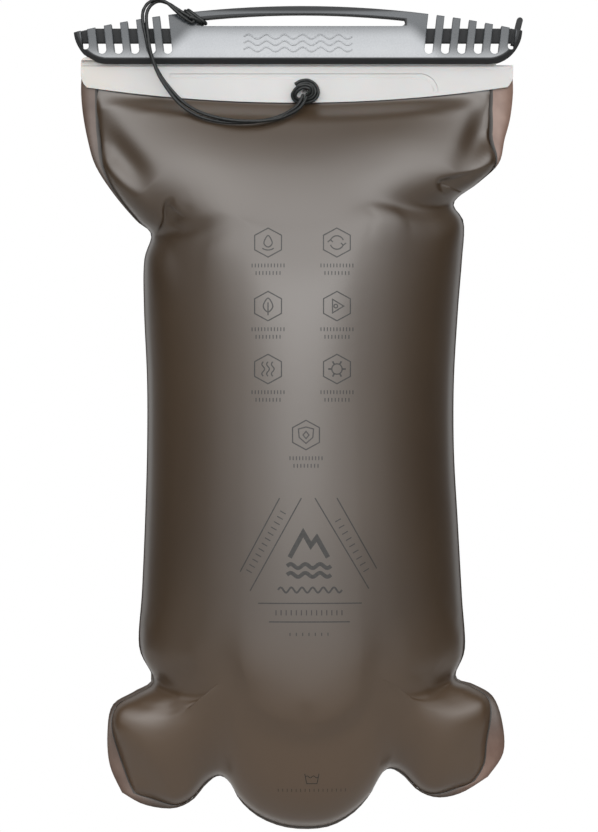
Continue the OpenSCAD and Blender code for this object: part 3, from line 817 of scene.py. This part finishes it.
def make_bag():
    start, flat, faces, held, ids = pouch_mesh()
    bag = new_object("film_bag", start, faces, FILM)
    settled = inflate(bag, flat, held)
    settled = settle_film(start, settled)
    bag.data.vertices.foreach_set("co", settled.ravel())
    bag.data.update()
    clean_normals(bag)
    rim = {int(i) for i in np.concatenate([ids[0, :, 0], ids[0, :, -1], ids[0, 0], ids[0, -1]])}
    crease = bag.data.attributes.new("crease_edge", "FLOAT", "EDGE")
    crease.data.foreach_set("value", [float(set(e.vertices) <= rim) for e in bag.data.edges])
    smooth = bag.modifiers.new("smooth", "SUBSURF")
    smooth.levels = smooth.render_levels = 2
    fine = bpy.data.meshes.new_from_object(bag.evaluated_get(bpy.context.evaluated_depsgraph_get()))
    bag.modifiers.clear()
    bag.data = fine
    press_film(bag)
    return bag, settled, ids


bag, film_points, film_ids = make_bag()

LINE_WIDTH = 0.00042          # the pressed line along the weld


def weld_ring(points, ids):
    """Inner and outer edge of the visible weld, as matching lists of places round the bag."""
    v, u = row_places(), column_places()
    left, right, bottom = on_curve(LEFT_EDGE, v) * MM, on_curve(RIGHT_EDGE, v) * MM, on_curve(BOTTOM_EDGE, u) * MM
    inner = [points[ids[0, j, 0]] for j in range(NV + 1)]
    outer = list(left)
    inner += [points[ids[0, NV, i]] for i in range(1, NU)]
    outer += list(bottom[1:NU])
    inner += [points[ids[0, j, NU]] for j in range(NV, -1, -1)]
    outer += list(right[::-1])
    inner, outer = np.array(inner), np.array(outer)
    outer = np.c_[outer[:, 0], inner[:, 1], outer[:, 1]]
    return inner, outer


def backlight_glow_at(x, z):
    """How much painted backlight shows through the weld at a place, from 0 to 1: lighter and warmer, most on the ears
    and lobes.
    """
    right_ear = ease((x - 0.085) / 0.008) * ease((z + 0.080) / 0.015)
    left_ear = 0.28 * ease((-x - 0.096) / 0.008) * ease((z + 0.085) / 0.040)
    right_lobe = 0.80 * ease((x - 0.070) / 0.02) * ease((-0.342 - z) / 0.025)
    left_lobe = 0.45 * ease((-x - 0.070) / 0.02) * ease((-0.345 - z) / 0.03)
    return np.clip(right_ear + left_ear + right_lobe + left_lobe + 0.08, 0, 1)


def make_weld(points, ids):
    """The flat welded border outside the pouch, in two films' thickness, with the pressed line inside it."""
    inner, outer = weld_ring(points, ids)
    width = np.linalg.norm(outer - inner, axis=1)
    outward = unit(outer - inner)
    tuck = inner - 0.0014 * outward
    line = inner + np.minimum(LINE_WIDTH, 0.6 * width)[:, None] * outward
    rows = []
    for place, t, y in [(tuck, 0, -0.30), (line, 0, -0.46), (line, 0.35, -0.42), (line, 1, -0.2),
                        (line, 1, 0.2), (line, 0.35, 0.42), (line, 0, 0.46), (tuck, 0, 0.30)]:
        p = mix(place, outer, t)
        p[:, 1] += y * MM
        rows.append(p)
    n, m = len(rows), len(inner)
    verts = np.concatenate(rows)
    faces = [(r * m + i, r * m + i + 1, ((r + 1) % n) * m + i + 1, ((r + 1) % n) * m + i)
             for r in range(n) for i in range(m - 1)]
    pressed = [r in (0, 6) and width[i] > 1.6 * LINE_WIDTH for r in range(n) for i in range(m - 1)]
    faces += [tuple(r * m for r in range(n)), tuple(r * m + m - 1 for r in range(n))[::-1]]
    weld = new_object("weld_border", verts, faces, SEAM)
    weld.data.materials.append(SEAM_LINE)
    for k in np.flatnonzero(pressed):
        weld.data.polygons[int(k)].material_index = 1
    # Painted backlight strength at each point, read by the weld's material.
    backlight_glow = weld.data.attributes.new("backlight_glow", "FLOAT", "POINT")
    backlight_glow.data.foreach_set("value", backlight_glow_at(verts[:, 0], verts[:, 2]).astype(np.float32))
    clean_normals(weld)
    return weld


weld = make_weld(film_points, film_ids)
for piece in (bag, weld):
    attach(piece, "reservoir")
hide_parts("front_panel", "back_panel")

# ---------------------------------------------------------------- print and embossing

LINE = 0.56                   # width of the printed lines, in millimetres


class Surface:
    """A front face that flat marks are laid on: marks are thin closed solids, half sunk into it."""

    def __init__(self, obj, lift, sink, centre=(0, 0), scale=1.0):
        self.tree = BVHTree.FromObject(obj, bpy.context.evaluated_depsgraph_get())
        self.lift, self.sink = lift * MM, sink * MM
        self.centre, self.scale = np.array(centre) / MM, scale
        self.verts, self.faces = [], []

    def height(self, x, z):
        hit = self.tree.ray_cast(Vector((x * MM, -0.3, z * MM)), Vector((0, 1, 0)))
        return hit[0].y

    def ribbon(self, points, width=LINE, closed=False, step=1.2):
        """A line of even width through points in millimetres."""
        p = np.array(list(points) + ([points[0]] if closed else []), float)
        path = [p[0]]
        for a, b in zip(p[:-1], p[1:]):
            n = max(1, math.ceil(np.linalg.norm(b - a) / step))
            path += [mix(a, b, k / n) for k in range(1, n + 1)]
        path = np.array(path[:-1] if closed else path)
        if closed:
            before, after = unit(path - np.roll(path, 1, 0)), unit(np.roll(path, -1, 0) - path)
        else:
            leg = unit(np.diff(path, axis=0))
            before, after = np.concatenate([leg[:1], leg]), np.concatenate([leg, leg[-1:]])
        bisector = unit(before + after)
        miter = 1 / np.maximum(0.5, (bisector * after).sum(1))
        aside = np.c_[-bisector[:, 1], bisector[:, 0]] * (width / 2 * miter)[:, None]
        first, n = len(self.verts), len(path)
        path = self.centre + (path - self.centre) * self.scale
        for left, right in zip(path + aside, path - aside):
            for (x, z), out in ((left, self.lift), (right, self.lift), (right, -self.sink), (left, -self.sink)):
                self.verts.append((x * MM, self.height(x, z) - out, z * MM))
        for i in range(n if closed else n - 1):
            a, b = first + 4 * i, first + 4 * ((i + 1) % n)
            self.faces += [(a + k, a + (k + 1) % 4, b + (k + 1) % 4, b + k) for k in range(4)]
        if not closed:
            self.faces += [tuple(first + k for k in (3, 2, 1, 0)), tuple(first + 4 * n - 4 + k for k in range(4))]

    def curve(self, points, width=LINE, closed=False):
        points = list(points)
        if closed:
            loop = points[-1:] + points + points[:2]
            n = len(loop) - 1
            t = np.linspace(1 / n, (n - 1) / n, 8 * len(points) + 1)[:-1]
            self.ribbon(on_curve(loop, t), width, True, 3)
        else:
            self.ribbon(on_curve(points, np.linspace(0, 1, 8 * len(points))), width, step=3)

    def ring(self, x, z, r, start=0, end=360, width=LINE):
        turn = np.radians(np.linspace(start, end, 25))
        points = np.c_[x + r * np.cos(turn), z + r * np.sin(turn)]
        whole = end - start == 360
        self.ribbon(points[:-1] if whole else points, width, whole, 3)

    def wave(self, start, end, swing, turns, width=LINE):
        start, end = np.array(start, float), np.array(end, float)
        t = np.linspace(0, 1, int(16 * turns) + 1)
        across = np.array([-(end - start)[1], (end - start)[0]]) / np.linalg.norm(end - start)
        sway = swing * np.sin(2 * np.pi * turns * t)
        self.ribbon(mix(start, end, t[:, None]) + sway[:, None] * across, width, step=3)

    def ticks(self, start, end, count, height, width=0.48):
        """A row of plain short strokes where the real object has lettering."""
        start, end = np.array(start, float), np.array(end, float)
        across = np.array([-(end - start)[1], (end - start)[0]]) / np.linalg.norm(end - start)
        for k in range(count):
            centre = mix(start, end, k / (count - 1))
            self.ribbon([centre - across * height / 2, centre + across * height / 2], width)

    def finish(self, name, material, body):
        obj = new_object(name, self.verts, self.faces, material, smooth=False)
        clean_normals(obj)
        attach(obj, body)
        return obj


BADGES = [(-17, -110.8), (17.5, -110.8), (-17, -142.8), (17.5, -142.8), (-17, -174.3), (17.5, -174.3), (2, -207.3)]
BADGE_R = 8.0


def draw_badges(ink):
    """Seven six-sided badges with simple pictures, each with two rows of strokes under it."""
    for x, z in BADGES:
        turn = np.radians(np.arange(6) * 60 + 90)
        ink.ribbon(np.c_[x + 0.97 * BADGE_R * np.cos(turn), z + 0.92 * BADGE_R * np.sin(turn)], closed=True)
        ink.ticks((x - 8, z - 11.6), (x + 8, z - 11.6), 11, 1.9)
        ink.ticks((x - 6, z - 15.4), (x + 6, z - 15.4), 8, 1.9)
    spots = iter(BADGES)
    x, z = next(spots)              # a drop over a saucer
    ink.curve([(x, z + 3.6), (x - 2.1, z - 0.2), (x, z - 2.3), (x + 2.1, z - 0.2)], closed=True)
    ink.ring(x, z + 1.2, 5.0, 235, 305)
    x, z = next(spots)              # two arrows chasing round a circle
    ink.ring(x, z, 3.4, 20, 160)
    ink.ring(x, z, 3.4, 200, 340)
    for s in (-1, 1):
        ink.ribbon([(x - s * 4.6, z + s * 0.2), (x - s * 3.2, z + s * 1.4), (x - s * 2.0, z + s * 0.2)])
    x, z = next(spots)              # a leaf
    ink.curve([(x, z + 4.0), (x - 2.4, z), (x, z - 3.0), (x + 2.4, z)], closed=True)
    ink.ribbon([(x, z + 1.8), (x, z - 4.6)])
    x, z = next(spots)              # a triangle pointing right
    ink.ribbon([(x - 2.2, z + 3.4), (x + 3.4, z), (x - 2.2, z - 3.4)], closed=True)
    ink.ring(x - 0.6, z, 0.9)
    x, z = next(spots)              # three rising waves
    for k in (-2.4, 0, 2.4):
        ink.wave((x + k, z - 3.6), (x + k, z + 3.6), 0.7, 1.5)
    x, z = next(spots)              # a wheel
    ink.ring(x, z, 2.6)
    for a in range(0, 360, 60):
        c, d = math.cos(math.radians(a)), math.sin(math.radians(a))
        ink.ribbon([(x + 2.8 * c, z + 2.8 * d), (x + 4.4 * c, z + 4.4 * d)], 0.8)
    x, z = next(spots)              # a shield
    ink.ribbon([(x - 3.8, z + 3.0), (x, z + 4.0), (x + 3.8, z + 3.0), (x + 3.4, z - 1.2), (x, z - 4.2),
                (x - 3.4, z - 1.2)], closed=True)
    ink.ribbon([(x, z + 1.8), (x + 1.5, z), (x, z - 1.8), (x - 1.5, z)], closed=True)


def draw_emblem(ink):
    """Leaning double lines round a plain mountain over water, and two rules below."""
    for a, b in [((-11.2, -238.8), (-31, -275.8)), ((-0.3, -238.8), (-26, -285.3)), ((6.5, -238.8), (33.5, -284.3)),
                 ((17.5, -238.8), (37.5, -274.3)), ((-22, -291.5), (30, -291.5)), ((-16.5, -300.8), (24, -300.8))]:
        ink.ribbon([a, b])
    ink.ticks((-26.5, -275.5), (-9.5, -246.0), 12, 3.2)
    ink.ticks((18.0, -250.0), (32.2, -275.0), 9, 3.2)
    ink.ticks((-13, -296.2), (20, -296.2), 14, 2.6)
    ink.ticks((-6, -307.0), (13, -307.0), 7, 1.6)
    ink.ribbon([(-6.2, -268.5), (0.6, -256.0), (4.4, -262.6), (7.4, -258.6), (13.0, -268.5)], 2.3)
    ink.wave((-7.5, -272.8), (14.5, -272.8), 1.0, 3, 1.9)
    ink.wave((-7.5, -277.2), (14.5, -277.2), 1.0, 3, 1.9)
    ink.wave((-12, -284.8), (20, -284.8), 1.3, 6, 0.9)


def draw_care_mark(ink):
    """A small open box with a stroke through it, over a row of strokes."""
    x, z = 5, -381
    ink.ribbon([(x - 3.6, z + 2.6), (x - 2.6, z - 2.6), (x + 2.6, z - 2.6), (x + 3.6, z + 2.6)], 0.4)
    ink.wave((x - 3.2, z + 1.0), (x + 3.2, z + 1.0), 0.5, 2, 0.4)
    ink.ticks((x - 17, z - 6.2), (x + 17, z - 6.2), 16, 1.6, 0.3)


ink = Surface(bag, 0.07, 0.25, PICTURE_CENTRE, 1 - BULGE[-1] / CAMERA_DISTANCE)
draw_badges(ink)
draw_emblem(ink)
draw_care_mark(ink)
ink.finish("film_print", INK, "reservoir")

emboss = Surface(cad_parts["slider_bar"], 0.16, 0.25)
for level in (-8.6, -11.8, -15.0):
    emboss.wave((-29, level), (25, level), 1.1, 6, 0.7)
bar_mark = emboss.finish("bar_mark", BAR, "bar")

# ---------------------------------------------------------------- riding and finishes

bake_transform(tether)
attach(knot, "reservoir")
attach(hitch, "bar")
for piece, node in ((tether, "tether_cord"), (knot, "tether_knot"), (hitch, "tether_hitch")):
    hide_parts(node)

CAD_FINISHES = {"slider_bar": BAR, "front_mouth_strip": STRIP, "back_mouth_strip": STRIP,
                "port_flange": PORT, "port_body": PORT, "valve_cage": PORT, "bore_seal": RUBBER, "poppet_seal": RUBBER, "latch_plate": LATCH, "release_button": BUTTON,
                "valve_poppet": VALVE}
for name, material in CAD_FINISHES.items():
    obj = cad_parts[name]
    obj.data.materials.clear()
    obj.data.materials.append(material)

# ---------------------------------------------------------------- studio


# Strengths and spreads of the surroundings were chosen against the photo's brightness.
FRONT_LIGHT, SIDE_LIGHT, BACK_LIGHT = 2.4, 0.0, 0.62


def make_floor():
    floor_z = cad_low[2] - 2.8      # far enough down to stay out of the main picture
    size = 14
    floor = new_object("floor", [(-size, -size, floor_z), (size, -size, floor_z), (size, size, floor_z),
                                 (-size, size, floor_z)], [(0, 1, 2, 3)])
    n = Nodes("pale_floor")
    n.set(Base_Color=(0.46, 0.44, 0.42, 1), Roughness=0.8)
    floor.data.materials.append(n.material)


def make_world():
    """White surroundings for the eye; for the light, a studio bright in front and behind, dark at the sides."""
    world = bpy.data.worlds.new("studio")
    bpy.context.scene.world = world
    world.use_nodes = True
    tree = world.node_tree
    tree.nodes.clear()
    link = tree.links.new

    def ramp(value, start, end, low, high, kind="SMOOTHSTEP"):
        m = tree.nodes.new("ShaderNodeMapRange")
        m.interpolation_type = kind
        for name, number in (("From Min", start), ("From Max", end), ("To Min", low), ("To Max", high)):
            m.inputs[name].default_value = number
        link(value, m.inputs["Value"])
        return m.outputs["Result"]

    def sum_of(kind, a, b=None):
        m = tree.nodes.new("ShaderNodeMath")
        m.operation = kind
        link(a, m.inputs[0])
        if b:
            link(b, m.inputs[1])
        return m.outputs[0]

    coords, split = tree.nodes.new("ShaderNodeTexCoord"), tree.nodes.new("ShaderNodeSeparateXYZ")
    link(coords.outputs["Generated"], split.inputs[0])
    aside = sum_of("ABSOLUTE", split.outputs["X"])
    widen = ramp(split.outputs["Z"], 0.05, 0.65, 0.0, 0.22)
    front = ramp(sum_of("SUBTRACT", aside, widen), 0.58, 1.02, FRONT_LIGHT, 0.0, "LINEAR")
    faced = ramp(split.outputs["Y"], -0.75, 0.15, 1.0, 0.0)
    fall = ramp(split.outputs["Z"], -0.35, 0.62, 0.20, 1.75)
    high = ramp(split.outputs["Z"], 0.80, 1.0, 1.0, 0.40)
    back = ramp(split.outputs["Y"], 0.25, 0.95, SIDE_LIGHT, BACK_LIGHT)
    total = sum_of("ADD", sum_of("MULTIPLY", sum_of("MULTIPLY", front, faced), sum_of("MULTIPLY", fall, high)), back)
    out = tree.nodes.new("ShaderNodeOutputWorld")
    seen, lit = tree.nodes.new("ShaderNodeBackground"), tree.nodes.new("ShaderNodeBackground")
    link(total, lit.inputs["Strength"])
    path, both = tree.nodes.new("ShaderNodeLightPath"), tree.nodes.new("ShaderNodeMixShader")
    link(path.outputs["Is Camera Ray"], both.inputs["Fac"])
    link(lit.outputs[0], both.inputs[1])
    link(seen.outputs[0], both.inputs[2])
    link(both.outputs[0], out.inputs["Surface"])
    for shader in (seen, lit):
        shader.inputs["Color"].default_value = (1, 1, 1, 1)


def make_lamp(name, place, aim, size, power):
    data = bpy.data.lights.new(name, "AREA")
    data.shape = "RECTANGLE"
    data.size, data.size_y = size
    data.energy = power
    lamp = bpy.data.objects.new(name, data)
    bpy.context.scene.collection.objects.link(lamp)
    lamp.location = place
    lamp.rotation_euler = (Vector(aim) - Vector(place)).to_track_quat("-Z", "Y").to_euler()


bpy.context.scene.view_settings.view_transform = "Standard"
make_floor()
make_world()
make_lamp("front_softbox", (0.0, -2.3, 0.15), (0, 0, -0.05), (1.2, 0.62), 13)
